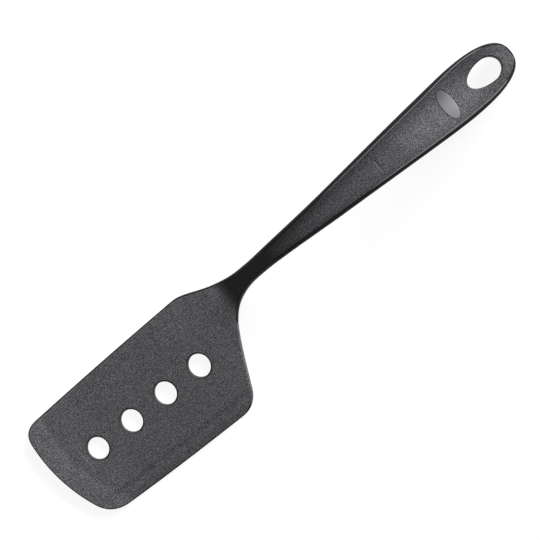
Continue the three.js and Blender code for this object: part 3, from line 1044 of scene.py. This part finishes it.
class Graph:
    """Adds nodes to the node tree of a material or of the world."""

    def __init__(self, tree):
        self.tree = tree

    def fill(self, node, inputs):
        """Puts a constant or a link in each named input of a node."""
        for name, value in inputs.items():
            if isinstance(value, bpy.types.NodeSocket):
                self.tree.links.new(value, node.inputs[name])
            else:
                node.inputs[name].default_value = value

    def node(self, kind, inputs=None, **settings):
        node = self.tree.nodes.new("ShaderNode" + kind)
        for name, value in settings.items():
            setattr(node, name, value)
        self.fill(node, inputs or {})
        return node

    def place(self):
        return self.node("TexCoord").outputs["Object"]

    def split(self, place):
        axes = self.node("SeparateXYZ", {"Vector": place}).outputs
        return axes["X"], axes["Y"]

    def turned(self, place):
        """The same place turned off the axes, so that the flat blade cuts the noise evenly."""
        return self.node("Mapping", {"Vector": place, "Rotation": GRAIN_TURN}).outputs["Vector"]

    def noise(self, place, scale, detail=2.0, roughness=0.5):
        inputs = {"Vector": place, "Scale": scale, "Detail": detail, "Roughness": roughness}
        return self.node("TexNoise", inputs).outputs["Fac"]

    def ramp(self, value, stops):
        node = self.node("ValToRGB", {"Fac": value})
        elements = node.color_ramp.elements
        while len(elements) < len(stops):
            elements.new(0.5)
        for element, (place, colour) in zip(elements, stops):
            element.position = place
            element.color = (*colour, 1)
        return node.outputs["Color"]

    def spread(self, value, low, high, to_low, to_high, kind="LINEAR"):
        """Stretches the range from low to high over another range, and keeps to its ends outside."""
        inputs = {"Value": value, "From Min": low, "From Max": high, "To Min": to_low, "To Max": to_high}
        return self.node("MapRange", inputs, interpolation_type=kind).outputs["Result"]

    def calculated(self, operation, a, b=0):
        return self.node("Math", {0: a, 1: b}, operation=operation).outputs[0]

    def times(self, a, b):
        return self.calculated("MULTIPLY", a, b)

    def plus(self, a, b):
        return self.calculated("ADD", a, b)

    def mixed(self, factor, a, b, kind="RGBA", blend="MIX"):
        inputs = {"Factor": factor, "A": a, "B": b}
        return self.node("Mix", inputs, data_type=kind, blend_type=blend).outputs["Result"]

    def bump(self, height, distance, strength):
        inputs = {"Height": height, "Distance": distance, "Strength": strength}
        return self.node("Bump", inputs).outputs["Normal"]

    def shown(self, output, factor, first, second):
        """Mixes two shaders by a factor and shows them as a surface."""
        mixed = self.node("MixShader", {0: factor, 1: first.outputs[0], 2: second.outputs[0]})
        self.node(output, {"Surface": mixed.outputs[0]})


def new_material(name):
    material = bpy.data.materials.new(name)
    material.use_nodes = True
    return material, Graph(material.node_tree), material.node_tree.nodes["Principled BSDF"]


# The range in which most of a noise lies
NOISE_LOW, NOISE_HIGH = 0.3, 0.7

GRAIN_TURN = (0.5, 0.7, 0.3)
GRAIN_SCALE = 2200
GRAIN_DEPTH = 0.00008
PORE_SCALE = 2600
PORE_DEPTH = 0.00004

# Where the grain gives way to the plain neck, and where it begins again on the panel
NECK_START = (0.0235, 0.0295)
PANEL_START = (0.0605, 0.0705)

# How light the grain is along the tool, as the panel's own darker tone with painted light and shade:
# painted light that evens out the handle's shadow on the blade, a painted highlight at the blade's root,
# and painted shade where the panel leaves the neck and towards the handle's end. Millimetres from the
# heel, and the level there
TONE_AND_LIGHT_FROM, TONE_AND_LIGHT_TO = -110, 220
TONE_AND_PAINTED_LIGHT = (
    (-104, 1.08), (-92, 1.08), (-80, 1.10), (-66, 0.95), (-20, 0.92), (0, 1.06), (16, 1.05), (21, 1.52),
    (58, 0.44), (68, 0.44), (88, 0.68), (120, 0.73), (152, 0.78), (163, 0.92), (185, 0.90), (194, 0.80),
    (211, 0.62),
)

# How light the panel is across, as painted shade of its dish, paler along its middle and darker towards
# its lips: its half width along the handle, its middle, and the level outwards
PANEL_SPAN = (0.060, 0.195)
PANEL_HALF = (0.0033, 0.0111)
PANEL_MIDDLE = -0.001
PANEL_SHARES = (0.2, 1.0)
PANEL_LEVELS = (1.08, 0.66)

# How much lighter the blade's root is from its far to its near side, as painted light on the far side
# where the handle's shadow falls and painted shade on the near side
ROOT_SPAN = (0, 0.016)
ROOT_ACROSS = (-0.016, 0.012)
ROOT_LEVELS = (0.28, -0.24)

# A scratch across the blade: its place on the middle line, slant, half width, and the fades of its ends
SCRATCH_PLACE = -0.0873
SCRATCH_SLANT = 0.05
SCRATCH_HALF = (0.0001, 0.0003)
SCRATCH_START = (-0.0245, -0.0225)
SCRATCH_END = (-0.0090, -0.0070)


def scratch_level(graph, x, y):
    """A pale scratch across the front of the blade, as a factor on the colour."""
    line = graph.plus(x, graph.times(y, SCRATCH_SLANT))
    off = graph.calculated("ABSOLUTE", graph.plus(line, -SCRATCH_PLACE))
    ends = graph.times(graph.spread(y, *SCRATCH_START, 0, 1), graph.spread(y, *SCRATCH_END, 1, 0))
    return graph.plus(graph.times(graph.spread(off, *SCRATCH_HALF, 1, 0), ends), 1)


def root_painted_light(graph, x, y, before_panel):
    """The blade's root, paler on its far side than on its near one, as a factor on the colour: painted
    light where the handle's shadow falls, painted shade on the near side.
    """
    root = graph.times(graph.spread(x, *ROOT_SPAN, 0, 1), before_panel)
    return graph.plus(graph.times(graph.spread(y, *ROOT_ACROSS, *ROOT_LEVELS), root), 1)


def panel_painted_shade(graph, x, y, on_panel):
    """Painted shade across the panel's dish, paler along its middle and darker towards its edges, as a
    factor on the colour.
    """
    half = graph.spread(x, *PANEL_SPAN, *PANEL_HALF, "SMOOTHSTEP")
    share = graph.calculated("ABSOLUTE", graph.calculated("DIVIDE", graph.plus(y, -PANEL_MIDDLE), half))
    level = graph.spread(share, *PANEL_SHARES, *PANEL_LEVELS, "SMOOTHSTEP")
    return graph.mixed(on_panel, 1, level, "FLOAT")


# Painted light and shade along the tool, with the panel's own darker tone, as a factor on the colour
def tone_and_painted_light(graph, x):
    along = graph.spread(x, TONE_AND_LIGHT_FROM * MM, TONE_AND_LIGHT_TO * MM, 0, 1)
    length = TONE_AND_LIGHT_TO - TONE_AND_LIGHT_FROM
    return graph.ramp(along, [((at - TONE_AND_LIGHT_FROM) / length, (level,) * 3) for at, level in TONE_AND_PAINTED_LIGHT])


def speckled_nylon():
    """Grained charcoal nylon. The neck, by its place along the tool, is smooth and darker. The colour
    also carries painted light and shade along the tool, across the panel and at the blade's root.
    """
    material, graph, shader = new_material("speckled_nylon")
    place = graph.place()
    x, y = graph.split(place)
    grain = graph.noise(graph.turned(place), GRAIN_SCALE, roughness=0.6)
    tint = graph.noise(place, scale=700, detail=1.0)
    colour = graph.ramp(grain, [
        (0.34, (0.020, 0.020, 0.023)),
        (0.50, (0.066, 0.065, 0.071)),
        (0.66, (0.190, 0.189, 0.198)),
    ])
    dark = graph.ramp(tint, [(NOISE_LOW, (0.026, 0.026, 0.027)), (NOISE_HIGH, (0.032, 0.032, 0.033))])
    on_panel = graph.spread(x, *PANEL_START, 0, 1)
    before_panel = graph.calculated("SUBTRACT", 1, on_panel)
    neck = graph.times(graph.spread(x, *NECK_START, 0, 1), before_panel)
    # Factors on the colour: painted light and shade with the panel's own tone along the tool, painted
    # shade across the panel, a pale scratch, and painted light and shade at the blade's root
    for level in (
        tone_and_painted_light(graph, x),
        panel_painted_shade(graph, x, y, on_panel),
        scratch_level(graph, x, y),
        root_painted_light(graph, x, y, before_panel),
    ):
        colour = graph.mixed(1, colour, level, blend="MULTIPLY")
    graph.fill(shader, {
        "Base Color": graph.mixed(neck, colour, dark),
        "Roughness": graph.spread(grain, NOISE_LOW, NOISE_HIGH, 0.65, 0.5),
        "Specular IOR Level": graph.spread(neck, 0, 1, 0.12, 0.08),
        "Normal": graph.bump(grain, GRAIN_DEPTH, 0.5),
    })
    return material


def mottled(name, greys, scale, specular, roughness=(0.5, 0.6), detail=2.0, pores=0):
    """Plain plastic that wavers between two greys, with fine pores of the given strength."""
    material, graph, shader = new_material(name)
    place = graph.place()
    mottle = graph.noise(place, scale, detail)
    graph.fill(shader, {
        "Base Color": graph.ramp(mottle, list(zip((NOISE_LOW, NOISE_HIGH), greys))),
        "Roughness": graph.spread(mottle, NOISE_LOW, NOISE_HIGH, *roughness),
        "Specular IOR Level": specular,
    })
    if pores:
        graph.fill(shader, {"Normal": graph.bump(graph.noise(place, PORE_SCALE), PORE_DEPTH, pores)})
    return material


# Greys of plain edges and backs; of the drain holes' front halves, paler to paint the light on the side
# of each rim that faces the lamp; of the lips, pale to paint a highlight along them; and of the grip
SMOOTH_GREYS = ((0.005, 0.005, 0.006), (0.009, 0.009, 0.010))
PAINTED_LIT_GREYS = ((0.030, 0.030, 0.031), (0.042, 0.042, 0.043))
LIP_HIGHLIGHT_GREYS = ((0.085, 0.085, 0.09), (0.115, 0.115, 0.12))
GRIP_GREYS = ((0.008, 0.008, 0.009), (0.013, 0.013, 0.015))

# The badge's colour paints its reflection and shade from one end to the other, lightest just off its
# middle and darkest at its near end, and its haze shifts the shades a little
BADGE_ACROSS = (-0.0088, 0.0088)
BADGE_HAZE = (-0.08, 0.08)


def polished_badge_painted_reflection():
    material, graph, shader = new_material("polished_badge_painted_reflection")
    place = graph.place()
    haze = graph.noise(place, scale=400, detail=3.0)
    across = graph.spread(graph.split(place)[1], *BADGE_ACROSS, 0, 1)
    faded = graph.plus(across, graph.spread(haze, 0, 1, *BADGE_HAZE))
    # Painted reflection along the badge and painted shade at its near end
    colour = graph.ramp(faded, [
        (0.02, (0.115, 0.115, 0.122)),
        (0.35, (0.165, 0.165, 0.172)),
        (0.60, (0.140, 0.140, 0.147)),
        (0.98, (0.050, 0.050, 0.054)),
    ])
    roughness = graph.spread(haze, NOISE_LOW, NOISE_HIGH, 0.3, 0.4)
    graph.fill(shader, {"Base Color": colour, "Roughness": roughness, "Specular IOR Level": 0.3})
    return material


# Stage, in metres

FLOOR_HALF = 30
FLOOR_GAP = 0.0002
FLOOR_GLOW = 1.12
FLOOR_GLOW_SHARE = 0.8
FLOOR_GREYS = (0.2, 0.9)
WHITE = (1, 1, 1, 1)
TOOL_MIDDLE = (0.06, -0.01, 0)


def direct_looks(graph):
    """1 for a ray from the camera, off a mirror or through glass, 0 for scattered light."""
    rays = graph.node("LightPath").outputs
    mirrored = graph.calculated("MAXIMUM", rays["Is Glossy Ray"], rays["Is Transmission Ray"])
    return graph.calculated("MAXIMUM", rays["Is Camera Ray"], mirrored)


def make_floor():
    """A floor that looks white, keeps the tool's shadow, and throws little light back at the tool."""
    mesh = bpy.data.meshes.new("floor")
    corners = [(FLOOR_HALF * x, FLOOR_HALF * y, 0) for x, y in ((-1, -1), (1, -1), (1, 1), (-1, 1))]
    mesh.from_pydata(corners, [], [(0, 1, 2, 3)])
    floor = linked("floor", mesh)
    floor.location.z = -FLOOR_GAP
    material, graph, _ = new_material("white_floor")
    material.node_tree.nodes.clear()
    looked_at = direct_looks(graph)
    paper = graph.node("BsdfDiffuse", {"Color": graph.spread(looked_at, 0, 1, *FLOOR_GREYS)})
    glow = graph.node("Emission", {"Strength": FLOOR_GLOW})
    graph.shown("OutputMaterial", graph.times(looked_at, FLOOR_GLOW_SHARE), paper, glow)
    mesh.materials.append(material)


def make_world(ambient):
    """White where it is looked at, and a weaker light all round."""
    world = bpy.data.worlds.new("studio")
    bpy.context.scene.world = world
    world.use_nodes = True
    world.node_tree.nodes.clear()
    graph = Graph(world.node_tree)
    skies = [graph.node("Background", {"Color": WHITE, "Strength": level}) for level in (ambient, 1)]
    graph.shown("OutputWorld", direct_looks(graph), *skies)


def put_at(thing, place, right, up, back):
    """Moves an object to a place and turns its axes as given."""
    thing.matrix_world = Matrix.Translation(place) @ Matrix((right, up, back)).transposed().to_4x4()


def make_softbox(name, azimuth, elevation, distance, size, light):
    """A wide lamp that faces the middle of the tool, with the azimuth counted from +X towards +Y."""
    a, e = math.radians(azimuth), math.radians(elevation)
    towards = Vector((math.cos(a) * math.cos(e), math.sin(a) * math.cos(e), math.sin(e)))
    side = Vector((-math.sin(a), math.cos(a), 0))
    data = bpy.data.lights.new(name, "AREA")
    data.shape = "RECTANGLE"
    data.size, data.size_y = size
    data.energy = light * math.pi * distance**2
    place = towards * distance + Vector(TOOL_MIDDLE)
    put_at(linked(name, data), place, side, towards.cross(side), towards)


# Camera: nearly parallel view from above, over the handle's end

VIEW_TURN = math.radians(37.167)
VIEW_HEIGHT = math.radians(67.477)
VIEW_ASIDE = math.radians(3.076)
PIXELS_PER_MM = 2.0842
ORIGIN_PIXEL = (190.761, 324.850)
FRAME_PIXELS = 540
LENS = 1600.0
SENSOR = 36.0
MIDDLE_DEPTH = 25.0
CLIPPING = (0.1, 100)


def make_camera():
    level = Vector((math.cos(VIEW_ASIDE), -math.sin(VIEW_ASIDE), 0))
    down = level * math.sin(VIEW_HEIGHT) - Vector((0, 0, math.cos(VIEW_HEIGHT)))
    side = Vector((math.sin(VIEW_ASIDE), math.cos(VIEW_ASIDE), 0))
    right = math.cos(VIEW_TURN) * down - math.sin(VIEW_TURN) * side
    up = math.sin(VIEW_TURN) * down + math.cos(VIEW_TURN) * side
    back = right.cross(up)
    x, y = ORIGIN_PIXEL
    middle = FRAME_PIXELS / 2
    target = ((middle - x) * right + (y - middle) * up) / PIXELS_PER_MM
    distance = FRAME_PIXELS / PIXELS_PER_MM * LENS / SENSOR
    data = bpy.data.cameras.new("camera")
    data.lens = LENS
    data.sensor_width = SENSOR
    data.clip_start, data.clip_end = CLIPPING
    camera = linked("camera", data)
    put_at(camera, (target + back * (MIDDLE_DEPTH + distance)) * MM, right, up, back)
    bpy.context.scene.camera = camera


smooth_nylon = mottled("smooth_nylon", SMOOTH_GREYS, scale=500, specular=0.1)
painted_lit_nylon = mottled("painted_lit_nylon", PAINTED_LIT_GREYS, scale=900, specular=0.1)
lip_painted_highlight = mottled("lip_painted_highlight", LIP_HIGHLIGHT_GREYS, scale=900, specular=0.5, roughness=(0.45, 0.55))
satin_grip = mottled("satin_grip", GRIP_GREYS, scale=160, specular=0.08, detail=3.0, pores=0.25)

moulding = make_moulding([speckled_nylon(), smooth_nylon, painted_lit_nylon])
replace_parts(finished(moulding), "blade_and_spine")
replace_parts(finished(make_grip(satin_grip)), "handle_grip")
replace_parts(finished(make_badge(polished_badge_painted_reflection())), "oval_badge")
finished(make_beads(lip_painted_highlight))

make_floor()
make_world(ambient=0.2)
make_softbox("key", azimuth=20, elevation=15, distance=6.0, size=(4.6, 1.7), light=10.3)
make_camera()
bpy.context.scene.view_settings.view_transform = "Standard"
